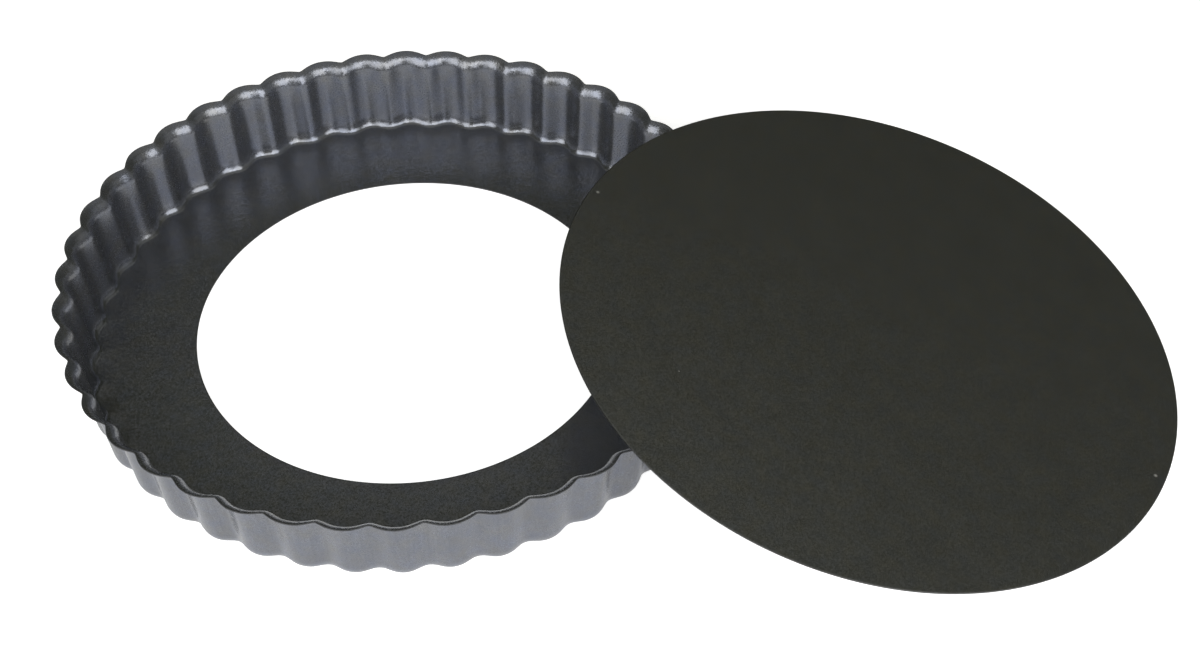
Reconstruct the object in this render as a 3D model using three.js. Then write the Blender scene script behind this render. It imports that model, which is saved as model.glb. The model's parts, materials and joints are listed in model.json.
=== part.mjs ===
// Loose-bottomed fluted tart pan, in millimetres, +Z up.
// Two pieces: a fluted ring pressed from one sheet, with an inward ledge round a large hole, and a flat
// loose base. The ring stands on the table. The base leans on its rim, with its far edge on the table.
// The row runs along +X from the ring to the base, and the origin is the bottom centre of the whole row.
import * as THREE from "three";

// Ring
const FLUTES = 44;
const RIM_RADIUS = 140; // out to the top edge of the lip at a flute's crest
const RING_HEIGHT = 36.8;
const RING_SHEET = 0.6;
const HOLE_RADIUS = 88.5;
const FOOT_RADIUS = 132.8; // inside foot of the wall at a flute's crest
const FOOT_FLUTE_DEPTH = 2.65;
const RIM_FLUTE_DEPTH = 2.6;
const RIDGE_SHARPNESS = 0.1; // 0 gives a plain cosine; more makes the ridges between flutes narrower
const FOOT_FILLET = { reach: 2.8, rise: 6 }; // across the ledge, and up the wall
const LIP_REACH = 4.3; // from the wall out to the lip's edge at a crest
const CREST_LIP = { radius: 5.4, sweep: THREE.MathUtils.degToRad(78.5), drop: 0 };
const RIDGE_LIP = { radius: 6, sweep: THREE.MathUtils.degToRad(69.3), drop: 0.35 };
const LIP_STRETCH = 1.15; // the lip's curve is this much taller than a circle

// Base
const BASE_RADIUS = 127.8;
const BASE_SHEET = 0.7;
const BASE_TILT = THREE.MathUtils.degToRad(11.76);
const REST_GAP = 0.3;

// Fineness of the facets
const STEPS_PER_FLUTE = 6;
const FILLET_STEPS = 2;
const LIP_STEPS = 3;
const BASE_SEGMENTS = 132;

const coating = new THREE.MeshStandardMaterial({ color: 0x3c3d3f, roughness: 0.35, metalness: 0.8 });

// A flute runs from ridge to ridge with its crest outward. The wave is highest, 0, at the crest and
// -1 at the ridge, and ridgeShare goes the other way, from 0 to 1.
function wave(angle) {
  const turn = FLUTES * angle;
  return (Math.cos(turn) - RIDGE_SHARPNESS * Math.cos(2 * turn) - (1 - RIDGE_SHARPNESS)) / 2;
}

function waveSlope(angle) {
  const turn = FLUTES * angle;
  return (FLUTES * (2 * RIDGE_SHARPNESS * Math.sin(2 * turn) - Math.sin(turn))) / 2;
}

function ridgeShare(angle) {
  return (1 - Math.cos(FLUTES * angle)) / 2;
}

// Point of the sheet at an angle round the ring: on the wall's inner face at a height, moved outward
// at right angles to the fluted wall by an offset.
function wallPoint(angle, height, offset) {
  const rise = (height - RING_SHEET) / (RING_HEIGHT - RING_SHEET);
  const rimWallRadius = RIM_RADIUS - LIP_REACH;
  const depth = THREE.MathUtils.lerp(FOOT_FLUTE_DEPTH, RIM_FLUTE_DEPTH, rise);
  const radius = THREE.MathUtils.lerp(FOOT_RADIUS, rimWallRadius, rise) + depth * wave(angle);
  const slope = (depth * waveSlope(angle)) / radius;
  const length = Math.hypot(1, slope);
  return { out: radius + offset / length, along: (-slope * offset) / length, height };
}

// Rows of the pressed section from the hole to the lip's edge. Each gives, at an angle, the offset
// and height of the inner face, and the tilt of its normal: 90 degrees is up and 0 is level.
function sectionRows() {
  const rows = [];
  for (let i = 0; i <= FILLET_STEPS; i++) {
    const turn = (Math.PI / 2) * (1 - i / FILLET_STEPS);
    rows.push(() => ({
      tilt: Math.atan2(FOOT_FILLET.reach * Math.sin(turn), FOOT_FILLET.rise * Math.cos(turn)),
      offset: -FOOT_FILLET.reach * (1 - Math.cos(turn)),
      height: RING_SHEET + FOOT_FILLET.rise * (1 - Math.sin(turn)),
    }));
  }
  for (let i = 0; i <= LIP_STEPS; i++) {
    rows.push((angle) => {
      const share = ridgeShare(angle);
      const radius = THREE.MathUtils.lerp(CREST_LIP.radius, RIDGE_LIP.radius, share);
      const sweep = THREE.MathUtils.lerp(CREST_LIP.sweep, RIDGE_LIP.sweep, share);
      const drop = THREE.MathUtils.lerp(CREST_LIP.drop, RIDGE_LIP.drop, share);
      const turn = (sweep * i) / LIP_STEPS;
      return {
        tilt: Math.atan2(Math.sin(turn), LIP_STRETCH * Math.cos(turn)),
        offset: radius * (1 - Math.cos(turn)),
        height: RING_HEIGHT - drop - LIP_STRETCH * radius * (Math.sin(sweep) - Math.sin(turn)),
      };
    });
  }
  return rows;
}

function innerPoint(row, angle) {
  const { offset, height } = row(angle);
  return wallPoint(angle, height, offset);
}

function outerPoint(row, angle) {
  const { tilt, offset, height } = row(angle);
  const point = wallPoint(angle, height, offset + RING_SHEET * Math.cos(tilt));
  return { ...point, height: height - RING_SHEET * Math.sin(tilt) };
}

function holePoint(height) {
  return { out: HOLE_RADIUS, along: 0, height };
}

// The closed section: under the ledge from the hole outward, up the outer face, round the lip's edge
// and back down the inner face to the hole.
function sectionPoints(angle) {
  const rows = sectionRows();
  const outer = rows.map((row) => outerPoint(row, angle));
  const inner = rows.map((row) => innerPoint(row, angle)).reverse();
  return [holePoint(0), ...outer, ...inner, holePoint(RING_SHEET), holePoint(0)];
}

function flutedRing() {
  const crestSection = sectionPoints(0).map((point) => new THREE.Vector2(point.out, point.height));
  const segments = FLUTES * STEPS_PER_FLUTE;
  const geometry = new THREE.LatheGeometry(crestSection, segments);
  const position = geometry.getAttribute("position");
  for (let i = 0; i <= segments; i++) {
    const angle = ((i % segments) / segments) * 2 * Math.PI;
    sectionPoints(angle).forEach(({ out, along, height }, j) => {
      const x = out * Math.cos(angle) - along * Math.sin(angle);
      const y = out * Math.sin(angle) + along * Math.cos(angle);
      position.setXYZ(i * crestSection.length + j, x, y, height);
    });
  }
  geometry.computeVertexNormals();
  const ring = new THREE.Mesh(geometry, coating);
  ring.name = "fluted_ring";
  return ring;
}

function looseBase() {
  const geometry = new THREE.CylinderGeometry(BASE_RADIUS, BASE_RADIUS, BASE_SHEET, BASE_SEGMENTS);
  geometry.rotateX(Math.PI / 2);
  geometry.translate(0, 0, BASE_SHEET / 2);
  const base = new THREE.Mesh(geometry, coating);
  base.name = "loose_base";
  return base;
}

// A ridge faces the base, so the base lies on the crests at either side of it.
const ring = flutedRing();
const halfFlute = Math.PI / FLUTES;
ring.rotation.z = halfFlute;

const base = looseBase();
const baseRise = BASE_RADIUS * Math.sin(BASE_TILT);
const restingHeight = RING_HEIGHT + REST_GAP / Math.cos(BASE_TILT);
base.rotation.y = BASE_TILT;
base.position.x = RIM_RADIUS * Math.cos(halfFlute) + (restingHeight - baseRise) / Math.tan(BASE_TILT);
base.position.z = baseRise;

const row = new THREE.Group();
row.add(ring, base);
const extent = new THREE.Box3().setFromObject(row, true);
row.position.x = -(extent.min.x + extent.max.x) / 2;
row.position.z = -extent.min.z;

const tartPan = new THREE.Group();
tartPan.add(row);

export default tartPan;
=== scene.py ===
# Looks of a loose-bottomed fluted tart pan: a pressed, coated ring with its flat base leaning on the rim.
# Every length is in metres. The ring stands on the table and the base leans towards it along -X.
import json
import math
from types import SimpleNamespace

import bpy
import numpy as np
from mathutils import Matrix, Vector


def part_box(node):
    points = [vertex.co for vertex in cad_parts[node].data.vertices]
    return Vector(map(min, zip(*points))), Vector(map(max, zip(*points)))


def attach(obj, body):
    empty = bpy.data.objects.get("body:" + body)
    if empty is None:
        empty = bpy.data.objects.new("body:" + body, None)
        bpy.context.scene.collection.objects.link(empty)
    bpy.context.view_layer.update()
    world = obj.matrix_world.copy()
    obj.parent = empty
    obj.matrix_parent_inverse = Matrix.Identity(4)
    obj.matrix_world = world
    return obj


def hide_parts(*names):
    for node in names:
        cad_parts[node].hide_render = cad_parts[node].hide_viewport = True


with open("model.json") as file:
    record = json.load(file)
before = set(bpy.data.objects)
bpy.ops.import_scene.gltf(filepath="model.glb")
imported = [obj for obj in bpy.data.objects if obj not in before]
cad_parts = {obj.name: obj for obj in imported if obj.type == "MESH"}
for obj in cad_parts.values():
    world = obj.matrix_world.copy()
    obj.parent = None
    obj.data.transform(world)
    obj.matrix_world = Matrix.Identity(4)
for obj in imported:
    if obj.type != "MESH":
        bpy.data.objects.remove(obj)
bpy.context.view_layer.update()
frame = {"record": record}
MM = 0.001
MICRON = 0.000001

mounts = {m["name"]: m for m in frame["record"]["mounts"]}
ring_low, ring_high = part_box("fluted_ring")
base_low, base_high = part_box("loose_base")

# Ring, pressed from one sheet: the driving sizes of the flutes, the fillet and the lip. A flute runs from
# ridge to ridge, with its crest outward.
FLUTES = 44
HALF_FLUTE = math.pi / FLUTES
RING_CENTRE = (ring_low + ring_high) / 2
RING_HEIGHT = ring_high.z
RING_SHEET = mounts["base_seat"]["pos_m"][2]
HOLE_RADIUS = 88.5 * MM
FOOT_RADIUS = 132.8 * MM
FOOT_FLUTE_DEPTH = 2.65 * MM
RIM_FLUTE_DEPTH = 2.6 * MM
RIDGE_SHARPNESS = 0.1
FILLET_REACH = 2.8 * MM
FILLET_RISE = 6 * MM
LIP_REACH = 4.3 * MM
CREST_LIP_RADIUS = 5.4 * MM
RIDGE_LIP_RADIUS = 6 * MM
CREST_LIP_SWEEP = math.radians(78.5)
RIDGE_LIP_SWEEP = math.radians(69.3)
RIDGE_LIP_DROP = 0.35 * MM
LIP_STRETCH = 1.15
LIP_UNDER_EDGE = RING_SHEET * math.cos(math.atan(math.tan(CREST_LIP_SWEEP) / LIP_STRETCH))
RIM_RADIUS = (ring_high.y - ring_low.y) / 2 / math.cos(HALF_FLUTE) - LIP_UNDER_EDGE
CREST_UNEVENNESS = 0.12 * MM

# Base, a flat disc.
BASE_TOP = Vector(mounts["base_top"]["pos_m"])
BASE_NORMAL = Vector(mounts["base_top"]["axis"]).normalized()
BASE_SHEET = (BASE_TOP - Vector(mounts["base_underside"]["pos_m"])).dot(BASE_NORMAL)
BASE_MIDDLE = BASE_TOP - BASE_NORMAL * BASE_SHEET
BASE_RADIUS = (base_high.y - base_low.y) / 2

# Marks on the base's top face, where it was hanging while it was coated, and one speck: distance from
# its middle, bearing in degrees counted from its low side, and radius. Each is a small hollow whose
# colour is painted near white, a painted highlight.
BASE_MARKS = [
    (124.6 * MM, 163.3, 1.1 * MM),
    (123.6 * MM, -20.5, 1.1 * MM),
    (89.9 * MM, -145.6, 0.4 * MM),
]

# Fineness of the meshes. The last row of a flat face lies just inside its rim, so that smooth shading
# doesn't bend the face's light.
STEPS_PER_FLUTE = 28
FILLET_STEPS = 8
WALL_STEPS = 4
LIP_STEPS = 12
LEDGE_STEPS = 6
EDGE_STEPS = 6
BASE_SEGMENTS = 264
BASE_RINGS = 12
LAST_FLAT_SHARE = 0.997

# Camera: it looks at a point on the table between the two pieces.
CAMERA_AZIMUTH = math.radians(8.806)
CAMERA_ELEVATION = math.radians(45.675)
CAMERA_ROLL = math.radians(-0.401)
CAMERA_DISTANCE = 752.85 * MM
CAMERA_TARGET = Vector((RING_CENTRE.x + 80.55 * MM, 10.42 * MM, 0))
CAMERA_LENS_MM = 53.4
SENSOR_MM = 36
NEAREST_SEEN = 10 * MM
FARTHEST_SEEN = 50

# Light: soft boxes, a white table that the camera sees brighter than the object does, and a dim room, given
# as elevation in degrees and colour. The camera sees a pale backdrop in place of the room.
BOX_DISTANCE = 1.6
FLOOR_HALF = 3.0
FLOOR_DROP = 0.05 * MM
FLOOR_WHITE = 0.8
FLOOR_ROUGHNESS = 0.9
FLOOR_GLOW = 0.32
FLOOR_EXPOSURE = 0.45
ROOM = [
    (1, (0.80, 0.81, 0.82)),
    (4, (0.040, 0.041, 0.017)),
    (44, (0.040, 0.041, 0.017)),
    (52, (0.215, 0.215, 0.185)),
    (85, (0.33, 0.33, 0.30)),
]
BACKDROP = (0.93, 0.935, 0.94)

# Coating: how large its patterns are, across. Drawing marks are long because their height is squeezed.
CLOUD_SIZE = 17 * MM
HUE_PATCH_SIZE = 6 * MM
SMEAR_SIZE = 3.2 * MM
PEEL_SIZE = 1.6 * MM
WRINKLE_SIZE = 1.3 * MM
DRAWING_MARK_SIZE = 0.9 * MM
DRAWING_MARK_SQUEEZE = 0.06
PEBBLE_SIZE = 0.5 * MM
FLAKE_SIZE = 0.42 * MM

# Coating: how far each pattern moves the colour, either way, how far the hue drifts to warm and to cool, and
# the near white painted into the marks on the base, a painted highlight.
CLOUD_SHADE = 0.10
SMEAR_SHADE = 0.05
FLAKE_SHADE = 0.08
GRAIN_SHADE = 0.12
HUE_DRIFT = (0.09, 0.03, -0.12)
MARK_PAINTED_HIGHLIGHT = (0.62, 0.61, 0.59)

# Coating: the roughness where it is smoothest, and what each pattern or place adds to it.
METALLIC = 0.8
LEAST_ROUGHNESS = 0.145
CLOUD_ROUGHNESS = 0.06
FLAKE_ROUGHNESS = 0.05
DRAWN_ROUGHNESS = 0.055
CUT_ROUGHNESS = 0.10
MARK_ROUGHNESS = 0.35

# Coating: the relief's depths, and how far flakes lean on flat faces and how that changes elsewhere.
GRAIN_DEPTH = 3 * MICRON
WRINKLE_DEPTH = 12 * MICRON
MARK_DEPTH = 200 * MICRON
FLAKE_LEAN = 0.13
DRAWN_LEAN_CHANGE = -0.10
LIP_LEAN_CHANGE = 0.09

rng = np.random.default_rng(7)


def mix(a, b, t):
    return a + (b - a) * t


# ---------------------------------------------------------------- shader nodes

def node(tree, kind, inputs=None, **settings):
    """A new node. Its inputs are other nodes' outputs, which are linked, or plain values."""
    made = tree.nodes.new(kind)
    for name, value in settings.items():
        setattr(made, name, value)
    for name, value in (inputs or {}).items():
        if isinstance(value, bpy.types.NodeSocket):
            tree.links.new(value, made.inputs[name])
        else:
            made.inputs[name].default_value = value
    return made


def maths(tree, operation, *values):
    return node(tree, "ShaderNodeMath", dict(enumerate(values)), operation=operation).outputs[0]


def vector_maths(tree, operation, *values):
    return node(tree, "ShaderNodeVectorMath", dict(enumerate(values)), operation=operation).outputs[0]


def scaled(tree, vector, factor):
    return node(tree, "ShaderNodeVectorMath", {0: vector, "Scale": factor}, operation="SCALE").outputs[0]


def mix_value(tree, first, second, share):
    return node(tree, "ShaderNodeMix", {0: share, 2: first, 3: second}, data_type="FLOAT").outputs[0]


def mix_colour(tree, first, second, share):
    """A blend of two colours, each a node's output or three numbers."""
    made = node(tree, "ShaderNodeMix", {0: share}, data_type="RGBA")
    for socket, colour in zip((made.inputs[6], made.inputs[7]), (first, second)):
        if isinstance(colour, bpy.types.NodeSocket):
            tree.links.new(colour, socket)
        else:
            socket.default_value = (*colour, 1)
    return made.outputs[2]


def new_paint(name, sockets):
    """A material, its node tree and its shader, with these sockets of the shader set."""
    paint = bpy.data.materials.new(name)
    paint.use_nodes = True
    shader = paint.node_tree.nodes["Principled BSDF"]
    for socket, value in sockets.items():
        shader.inputs[socket].default_value = value
    return paint, paint.node_tree, shader


# ---------------------------------------------------------------- camera, floor and light

def make_camera():
    cam = bpy.data.objects.new("camera", bpy.data.cameras.new("camera"))
    bpy.context.collection.objects.link(cam)
    back = Vector((
        math.sin(CAMERA_AZIMUTH) * math.cos(CAMERA_ELEVATION),
        -math.cos(CAMERA_AZIMUTH) * math.cos(CAMERA_ELEVATION),
        math.sin(CAMERA_ELEVATION),
    ))
    aim = (-back).to_track_quat("-Z", "Y").to_matrix()
    roll = Matrix.Rotation(CAMERA_ROLL, 3, "Z")
    cam.matrix_world = Matrix.Translation(CAMERA_TARGET + back * CAMERA_DISTANCE) @ (aim @ roll).to_4x4()
    cam.data.sensor_fit = "HORIZONTAL"
    cam.data.sensor_width = SENSOR_MM
    cam.data.lens = CAMERA_LENS_MM
    cam.data.clip_start = NEAREST_SEEN
    cam.data.clip_end = FARTHEST_SEEN
    bpy.context.scene.camera = cam


def make_floor():
    quarters = ((-1, -1), (1, -1), (1, 1), (-1, 1))
    corners = [(x * FLOOR_HALF, y * FLOOR_HALF, 0) for x, y in quarters]
    mesh = bpy.data.meshes.new("floor")
    mesh.from_pydata(corners, [], [(0, 1, 2, 3)])
    floor = bpy.data.objects.new("floor", mesh)
    bpy.context.collection.objects.link(floor)
    floor.location.z = -FLOOR_DROP
    paint, tree, shader = new_paint("floor_white", {
        "Base Color": (FLOOR_WHITE, FLOOR_WHITE, FLOOR_WHITE, 1),
        "Roughness": FLOOR_ROUGHNESS,
        "Specular IOR Level": 0.0,
        "Emission Color": (1, 1, 1, 1),
    })
    seen = node(tree, "ShaderNodeLightPath").outputs["Is Camera Ray"]
    glow = maths(tree, "MULTIPLY_ADD", seen, FLOOR_EXPOSURE, FLOOR_GLOW)
    tree.links.new(glow, shader.inputs["Emission Strength"])
    mesh.materials.append(paint)


def make_world():
    """A room with a bright horizon, a dim wall and more light overhead, which the camera doesn't see."""
    world = bpy.data.worlds.new("studio")
    bpy.context.scene.world = world
    world.use_nodes = True
    tree = world.node_tree
    direction = node(tree, "ShaderNodeTexCoord").outputs["Generated"]
    rise = node(tree, "ShaderNodeSeparateXYZ", {"Vector": direction}).outputs["Z"]
    ramp = node(tree, "ShaderNodeValToRGB", {"Fac": rise})
    stops = ramp.color_ramp.elements
    while len(stops) < len(ROOM):
        stops.new(1.0)
    for stop, (elevation, colour) in zip(stops, ROOM):
        stop.position = math.sin(math.radians(elevation))
        stop.color = (*colour, 1)
    seen = node(tree, "ShaderNodeLightPath").outputs["Is Camera Ray"]
    light = mix_colour(tree, ramp.outputs["Color"], BACKDROP, seen)
    tree.links.new(light, tree.nodes["Background"].inputs["Color"])


def soft_box(name, bearing, elevation, width, height, radiance):
    """A soft box facing the object's middle. Bearings and elevations are in degrees, and so are its width
    and height as seen from there."""
    light = bpy.data.lights.new(name, "AREA")
    light.shape = "RECTANGLE"
    light.size = 2 * BOX_DISTANCE * math.tan(math.radians(width) / 2)
    light.size_y = 2 * BOX_DISTANCE * math.tan(math.radians(height) / 2)
    light.energy = radiance * math.pi * light.size * light.size_y
    box = bpy.data.objects.new(name, light)
    bpy.context.collection.objects.link(box)
    a, e = math.radians(bearing), math.radians(elevation)
    way = Vector((math.cos(a) * math.cos(e), math.sin(a) * math.cos(e), math.sin(e)))
    box.location = way * BOX_DISTANCE
    box.rotation_mode = "QUATERNION"
    box.rotation_quaternion = way.to_track_quat("Z", "Y")
    box.visible_camera = False


def make_lights():
    soft_box("left_box", bearing=-132, elevation=25, width=28, height=48, radiance=3.0)
    soft_box("left_inner_box", bearing=-107.5, elevation=25, width=20, height=40, radiance=1.9)
    soft_box("right_box", bearing=-46, elevation=25, width=44, height=50, radiance=3.1)
    soft_box("middle_box", bearing=-82.5, elevation=40, width=29, height=22, radiance=2.4)
    soft_box("right_fill", bearing=5, elevation=25, width=50, height=45, radiance=0.22)


# ---------------------------------------------------------------- mesh building

def smooth_piece(name, points, faces):
    mesh = bpy.data.meshes.new(name)
    mesh.from_pydata(points, [], faces)
    mesh.shade_smooth()
    piece = bpy.data.objects.new(name, mesh)
    bpy.context.collection.objects.link(piece)
    return piece


def store(piece, name, values):
    """Keeps a number for each point of the mesh, for its material to read."""
    attribute = piece.data.attributes.new(name, "FLOAT", "POINT")
    attribute.data.foreach_set("value", np.asarray(values, np.float32))


# ---------------------------------------------------------------- fluted ring

# Angles are counted from a crest. A ridge faces the base, so bearings start half a flute further round.
ANGLES = np.arange(FLUTES * STEPS_PER_FLUTE) / (FLUTES * STEPS_PER_FLUTE) * 2 * math.pi
BEARINGS = ANGLES + HALF_FLUTE
TURN = FLUTES * ANGLES
WAVE = (np.cos(TURN) - RIDGE_SHARPNESS * np.cos(2 * TURN) - (1 - RIDGE_SHARPNESS)) / 2
WAVE_SLOPE = FLUTES * (2 * RIDGE_SHARPNESS * np.sin(2 * TURN) - np.sin(TURN)) / 2
RIDGE_SHARE = (1 - np.cos(TURN)) / 2


def uneven(size):
    """A small shift of its own for each crest and each ridge, blended round the ring."""
    crest = rng.uniform(-size, size, FLUTES)
    ridge = rng.uniform(-size, size, FLUTES)
    flute = np.arange(len(ANGLES)) / STEPS_PER_FLUTE
    nearest_crest = np.rint(flute).astype(int) % FLUTES
    nearest_ridge = np.floor(flute).astype(int)
    return mix(crest[nearest_crest], ridge[nearest_ridge], RIDGE_SHARE)


RADIUS_SHIFT = uneven(CREST_UNEVENNESS)
LIP_HEIGHT_SHIFT = uneven(CREST_UNEVENNESS)


def row_of_points(out, along, height):
    """A ring of points, each at its own distance out from the ring's axis and along the circle there."""
    x = RING_CENTRE.x + out * np.cos(BEARINGS) - along * np.sin(BEARINGS)
    y = out * np.sin(BEARINGS) + along * np.cos(BEARINGS)
    return np.stack([x, y, np.broadcast_to(height, x.shape)], 1)


def wall_point(height, offset):
    """A ring of points on the wall's inner face at a height, moved outward at right angles to the flutes."""
    rise = (height - RING_SHEET) / (RING_HEIGHT - RING_SHEET)
    depth = mix(FOOT_FLUTE_DEPTH, RIM_FLUTE_DEPTH, rise)
    radius = mix(FOOT_RADIUS, RIM_RADIUS - LIP_REACH, rise) + depth * WAVE + RADIUS_SHIFT
    slope = depth * WAVE_SLOPE / radius
    length = np.hypot(1, slope)
    return row_of_points(radius + offset / length, -slope * offset / length, height)


def section_point(tilt, offset, height, share=0.0, advance=0.0):
    """A ring of points on the sheet where its inner face has this tilt, offset and height. share goes
    from 0 on the inner face to 1 on the outer, and advance runs on along the section."""
    through = RING_SHEET * share
    moved = offset + through * np.cos(tilt) + advance * np.sin(tilt)
    raised = height - through * np.sin(tilt) + advance * np.cos(tilt)
    return wall_point(raised, moved)


def lip_shape(t):
    """Tilt, offset and height of the lip's inner face from its start, 0, to its edge, 1."""
    radius = mix(CREST_LIP_RADIUS, RIDGE_LIP_RADIUS, RIDGE_SHARE)
    sweep = mix(CREST_LIP_SWEEP, RIDGE_LIP_SWEEP, RIDGE_SHARE)
    turn = (sweep - RING_SHEET / 2 / radius) * t
    tilt = np.arctan2(np.sin(turn), LIP_STRETCH * np.cos(turn))
    offset = radius * (1 - np.cos(turn))
    top = RING_HEIGHT - RIDGE_LIP_DROP * RIDGE_SHARE + LIP_HEIGHT_SHIFT
    height = top - LIP_STRETCH * radius * (np.sin(sweep) - np.sin(turn))
    return tilt, offset, height


def fillet_shape(t):
    """The same for the fillet, from the ledge, 0, to the wall, 1."""
    turn = math.pi / 2 * (1 - t)
    tilt = math.atan2(FILLET_REACH * math.sin(turn), FILLET_RISE * math.cos(turn))
    offset = -FILLET_REACH * (1 - math.cos(turn))
    height = RING_SHEET + FILLET_RISE * (1 - math.sin(turn))
    return tilt, offset, height


def face_rows(share):
    """Rows over one face of the pressed sheet, from the fillet's start to the lip's edge."""
    rows = [section_point(*fillet_shape(i / FILLET_STEPS), share) for i in range(FILLET_STEPS + 1)]
    top_of_fillet = RING_SHEET + FILLET_RISE
    _, _, lip_start = lip_shape(0.0)
    for i in range(1, WALL_STEPS):
        rows.append(section_point(0.0, 0.0, mix(top_of_fillet, lip_start, i / WALL_STEPS), share))
    rows += [section_point(*lip_shape(i / LIP_STEPS), share) for i in range(LIP_STEPS + 1)]
    return rows


def face_marks():
    """For each row of face_rows, how far it is on the drawn wall, on the lip and on a cut edge. The lip
    counts in full from a quarter of the way round."""
    fillet = [(i / FILLET_STEPS, 0, 0) for i in range(FILLET_STEPS + 1)]
    wall = [(1, 0, 0)] * (WALL_STEPS - 1)
    lip = [(1, min(1, 4 * i / LIP_STEPS), 0) for i in range(LIP_STEPS + 1)]
    return fillet + wall + lip


def ledge_rows(start, height):
    """Rows over the flat ledge from the fillet's start in to the hole, where the flutes have faded out."""
    hole = row_of_points(HOLE_RADIUS + RING_SHEET / 2, 0.0, height)
    shares = [i / (LEDGE_STEPS - 1) for i in range(1, LEDGE_STEPS - 1)] + [LAST_FLAT_SHARE, 1]
    return [mix(start, hole, share) for share in shares]


def half_turns():
    """Turns from one face of a sheet round its edge to the other face, without the two faces."""
    return [math.pi * i / EDGE_STEPS for i in range(1, EDGE_STEPS)]


def lip_edge_rows():
    rows = []
    for turn in half_turns():
        share = (1 - math.cos(turn)) / 2
        rows.append(section_point(*lip_shape(1.0), share, RING_SHEET / 2 * math.sin(turn)))
    return rows


def hole_edge_rows():
    rows = []
    for turn in half_turns():
        radius = HOLE_RADIUS + RING_SHEET / 2 * (1 - math.sin(turn))
        rows.append(row_of_points(radius, 0.0, RING_SHEET / 2 * (1 - math.cos(turn))))
    return rows


def tube_faces(rows, count):
    """Quads through rings of points, count to a ring. The last ring joins the first."""
    here = np.arange(count)
    there = (here + 1) % count
    faces = []
    for j in range(rows):
        a = j * count
        b = (j + 1) % rows * count
        faces.append(np.stack([a + here, a + there, b + there, b + here], 1))
    return np.concatenate(faces).tolist()


def make_ring(paint):
    inner = face_rows(0.0)
    outer = face_rows(1.0)
    rows = inner + lip_edge_rows() + outer[::-1]
    rows += ledge_rows(outer[0], 0.0) + hole_edge_rows() + ledge_rows(inner[0], RING_SHEET)[::-1]
    face = face_marks()
    ledge = [(0, 0, 0)] * LEDGE_STEPS
    lip_edge = [(1, 1, 1)] * (EDGE_STEPS - 1)
    hole_edge = [(0, 0, 1)] * (EDGE_STEPS - 1)
    marks = face + lip_edge + face[::-1] + ledge + hole_edge + ledge
    points = np.concatenate(rows[::-1]).tolist()
    ring = smooth_piece("fluted_ring_coated", points, tube_faces(len(rows), len(ANGLES)))
    for name, values in zip(("drawn", "lip", "cut_edge"), np.array(marks[::-1]).T):
        store(ring, name, np.repeat(values, len(ANGLES)))
    ring.data.materials.append(paint)
    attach(ring, "ring")
    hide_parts("fluted_ring")


# ---------------------------------------------------------------- loose base

def mark_place(distance, bearing):
    turn = math.radians(bearing)
    return (distance * math.cos(turn), distance * math.sin(turn), BASE_SHEET)


def base_profile():
    """Radius, height and cut-edge mark of each ring of points, from the top face round the edge to the
    underside."""
    half = BASE_SHEET / 2
    flat = BASE_RADIUS - half
    radii = [flat * i / BASE_RINGS for i in range(1, BASE_RINGS)] + [flat * LAST_FLAT_SHARE, flat]
    top = [(radius, BASE_SHEET, 0) for radius in radii]
    edge = [(flat + half * math.sin(turn), half * (1 + math.cos(turn)), 1) for turn in half_turns()]
    underside = [(radius, 0.0, 0) for radius in reversed(radii)]
    return top + edge + underside


def disc_faces(rings, count):
    """Faces of a closed disc: point 0 in the middle of the top, then rings of count points over the edge to
    the underside, and one last point in its middle."""
    last_ring = 1 + (rings - 1) * count
    last_point = 1 + rings * count
    faces = []
    for k in range(count):
        after = (k + 1) % count
        faces.append((0, 1 + k, 1 + after))
        for a in range(1, last_ring, count):
            b = a + count
            faces.append((a + k, b + k, b + after, a + after))
        faces.append((last_point, last_ring + after, last_ring + k))
    return faces


def make_base(paint):
    profile = base_profile()
    turns = np.arange(BASE_SEGMENTS) / BASE_SEGMENTS * 2 * math.pi
    points = [(0, 0, BASE_SHEET)]
    for radius, height, _ in profile:
        points += [(radius * math.cos(turn), radius * math.sin(turn), height) for turn in turns]
    points.append((0, 0, 0))
    base = smooth_piece("loose_base_coated", points, disc_faces(len(profile), BASE_SEGMENTS))
    cut = np.repeat([mark for _, _, mark in profile], BASE_SEGMENTS)
    store(base, "cut_edge", [0, *cut, 0])
    store(base, "drawn", np.zeros(len(points)))
    store(base, "lip", np.zeros(len(points)))
    down_slope = Vector((0, 1, 0)).cross(BASE_NORMAL)
    lean = Matrix((down_slope, Vector((0, 1, 0)), BASE_NORMAL)).transposed().to_4x4()
    base.matrix_world = Matrix.Translation(BASE_MIDDLE) @ lean
    base.data.materials.append(paint)
    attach(base, "base")
    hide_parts("loose_base")


# ---------------------------------------------------------------- coating

def noise(tree, at, size, detail=2.0):
    """Soft noise around 0.5, its blobs about size across."""
    inputs = {"Vector": at, "Scale": 1 / size, "Detail": detail}
    return node(tree, "ShaderNodeTexNoise", inputs).outputs["Fac"]


def swing(tree, value, amount):
    """A factor around 1 that follows a value around 0.5."""
    return maths(tree, "MULTIPLY_ADD", value, 2 * amount, 1 - amount)


def mask(tree, name):
    """A number that the mesh keeps for each of its points."""
    return node(tree, "ShaderNodeAttribute", attribute_name=name).outputs["Fac"]


def round_the_axis(tree, here):
    """Coordinates that run straight up the walls: the bearing laid out on the foot's circle, and the height
    squeezed so that marks along it come out long."""
    flat = vector_maths(tree, "SUBTRACT", here, tuple(RING_CENTRE))
    flat = vector_maths(tree, "MULTIPLY", flat, (1, 1, 0))
    ray = vector_maths(tree, "NORMALIZE", flat)
    ray = vector_maths(tree, "MULTIPLY", ray, (FOOT_RADIUS,) * 3)
    rise = vector_maths(tree, "MULTIPLY", here, (0, 0, DRAWING_MARK_SQUEEZE))
    return vector_maths(tree, "ADD", ray, rise)


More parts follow.
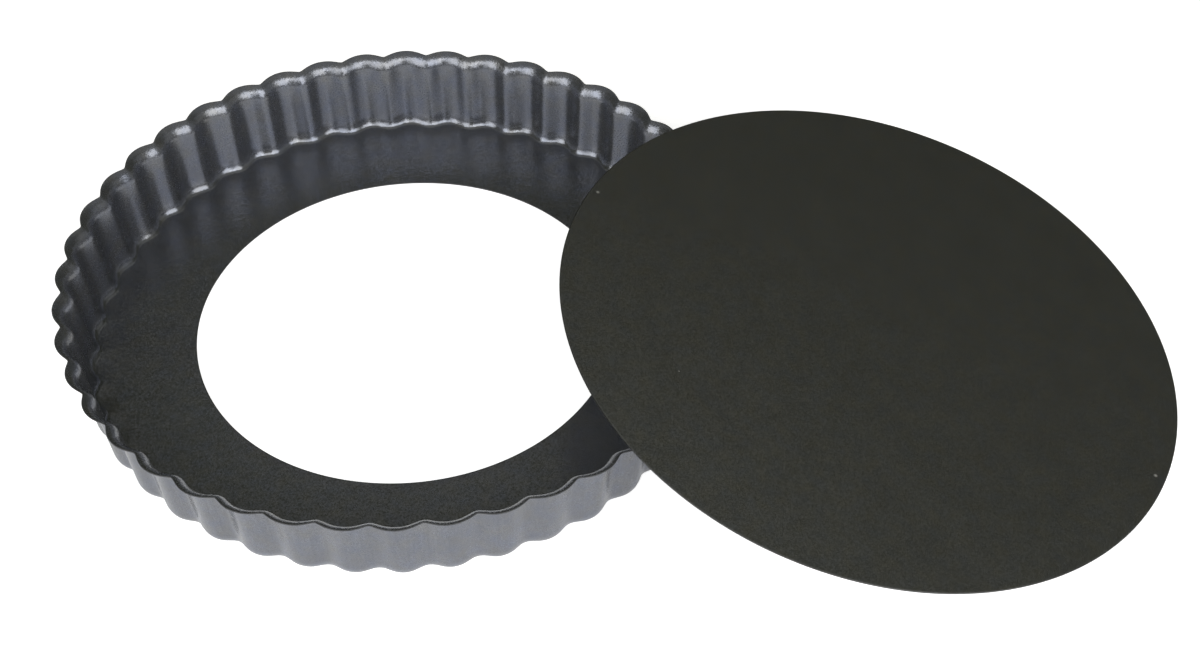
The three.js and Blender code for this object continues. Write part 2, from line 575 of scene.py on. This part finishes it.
def mark_spots(tree, here, marks):
    """1 at the middle of each small mark, falling to 0 at its rim. A mark is a place and a radius."""
    total = 0.0
    for place, radius in marks:
        away = node(tree, "ShaderNodeVectorMath", {0: here, 1: place}, operation="DISTANCE")
        inputs = {0: away.outputs["Value"], 1: radius, 2: 0.0}
        spot = node(tree, "ShaderNodeMapRange", inputs, interpolation_type="SMOOTHSTEP")
        total = maths(tree, "MAXIMUM", total, spot.outputs[0])
    return total


def coat_patterns(tree, marks):
    """The coat's patterns, values around 0.5, and its places, which go from 0 to 1."""
    here = node(tree, "ShaderNodeTexCoord").outputs["Object"]
    around = round_the_axis(tree, here)
    drawn = mask(tree, "drawn")
    lip = mask(tree, "lip")
    flakes = node(tree, "ShaderNodeTexVoronoi", {"Vector": here, "Scale": 1 / FLAKE_SIZE}).outputs["Color"]
    pebble = noise(tree, here, PEBBLE_SIZE, detail=1.0)
    drawing_marks = noise(tree, around, DRAWING_MARK_SIZE)
    return SimpleNamespace(
        drawn=drawn,
        lip=lip,
        cut=mask(tree, "cut_edge"),
        marks_and_highlight=mark_spots(tree, here, marks),
        cloud=noise(tree, here, CLOUD_SIZE, detail=3.0),
        smear=noise(tree, here, SMEAR_SIZE),
        hue=noise(tree, here, HUE_PATCH_SIZE),
        flakes=flakes,
        glint=node(tree, "ShaderNodeSeparateColor", {"Color": flakes}).outputs[0],
        grain=mix_value(tree, pebble, drawing_marks, drawn),
        wrinkles=maths(tree, "MULTIPLY", noise(tree, around, WRINKLE_SIZE, detail=1.0), lip),
        peel=noise(tree, here, PEEL_SIZE, detail=1.0),
    )


def coat_colour(tree, coat, tint, cut_tint):
    shade = swing(tree, coat.cloud, CLOUD_SHADE)
    shade = maths(tree, "MULTIPLY", shade, swing(tree, coat.smear, SMEAR_SHADE))
    shade = maths(tree, "MULTIPLY", shade, swing(tree, coat.glint, FLAKE_SHADE))
    shade = maths(tree, "MULTIPLY", shade, swing(tree, coat.grain, GRAIN_SHADE))
    warm = [part * (1 + drift) for part, drift in zip(tint, HUE_DRIFT)]
    cool = [part * (1 - drift) for part, drift in zip(tint, HUE_DRIFT)]
    colour = scaled(tree, mix_colour(tree, warm, cool, coat.hue), shade)
    # Painted highlight: the marks' colour is made near white.
    colour = mix_colour(tree, colour, MARK_PAINTED_HIGHLIGHT, coat.marks_and_highlight)
    # Cut edges are made darker than the coat around them.
    return mix_colour(tree, colour, cut_tint, coat.cut)


def coat_roughness(tree, coat):
    rough = maths(tree, "MULTIPLY_ADD", coat.cloud, CLOUD_ROUGHNESS, LEAST_ROUGHNESS)
    rough = maths(tree, "MULTIPLY_ADD", coat.drawn, DRAWN_ROUGHNESS, rough)
    rough = maths(tree, "MULTIPLY_ADD", coat.glint, FLAKE_ROUGHNESS, rough)
    rough = maths(tree, "MULTIPLY_ADD", coat.cut, CUT_ROUGHNESS, rough)
    return maths(tree, "MULTIPLY_ADD", coat.marks_and_highlight, MARK_ROUGHNESS, rough)


def flake_normal(tree, coat):
    """The surface's own normal, turned a little for each flake."""
    lean = maths(tree, "MULTIPLY_ADD", coat.drawn, DRAWN_LEAN_CHANGE, FLAKE_LEAN)
    lean = maths(tree, "MULTIPLY_ADD", coat.lip, LIP_LEAN_CHANGE, lean)
    own = node(tree, "ShaderNodeNewGeometry").outputs["Normal"]
    spread = scaled(tree, vector_maths(tree, "SUBTRACT", coat.flakes, (0.5, 0.5, 0.5)), lean)
    return vector_maths(tree, "NORMALIZE", vector_maths(tree, "ADD", own, spread))


def coat_relief(tree, coat, peel_depth):
    """The normal over orange peel, grain, wrinkles on the lip and the hollows of the marks."""
    height = maths(tree, "MULTIPLY", coat.peel, peel_depth)
    height = maths(tree, "MULTIPLY_ADD", coat.grain, GRAIN_DEPTH, height)
    height = maths(tree, "MULTIPLY_ADD", coat.wrinkles, WRINKLE_DEPTH, height)
    height = maths(tree, "MULTIPLY_ADD", coat.marks_and_highlight, -MARK_DEPTH, height)
    inputs = {"Height": height, "Distance": 1.0, "Strength": 1.0, "Normal": flake_normal(tree, coat)}
    return node(tree, "ShaderNodeBump", inputs).outputs["Normal"]


def coating(name, tint, cut_tint, peel_depth, edge_shine, marks=()):
    """Baked non-stick coating with a metallic glint: clouding, orange peel, flakes, drawing marks on the
    wall, wrinkles on the lip and rougher, darker cut edges. edge_shine is 1 for a metal's full shine
    at grazing angles, and marks are small hollows painted near white, a painted highlight."""
    paint, tree, shader = new_paint(name, {
        "Metallic": METALLIC,
        "Specular Tint": (edge_shine, edge_shine, edge_shine, 1),
    })
    coat = coat_patterns(tree, marks)
    tree.links.new(coat_colour(tree, coat, tint, cut_tint), shader.inputs["Base Color"])
    tree.links.new(coat_roughness(tree, coat), shader.inputs["Roughness"])
    tree.links.new(coat_relief(tree, coat, peel_depth), shader.inputs["Normal"])
    return paint


make_camera()
make_floor()
make_world()
make_lights()
bpy.context.scene.view_settings.view_transform = "Standard"
make_ring(coating(
    "ring_coating_look",
    tint=(0.19, 0.198, 0.222),
    cut_tint=(0.07, 0.071, 0.075),
    peel_depth=11 * MICRON,
    edge_shine=1.0,
))
make_base(coating(
    "base_coating_look",
    tint=(0.160, 0.163, 0.157),
    cut_tint=(0.07, 0.071, 0.07),
    peel_depth=6 * MICRON,
    edge_shine=0.15,
    marks=[(mark_place(distance, bearing), radius) for distance, bearing, radius in BASE_MARKS],
))
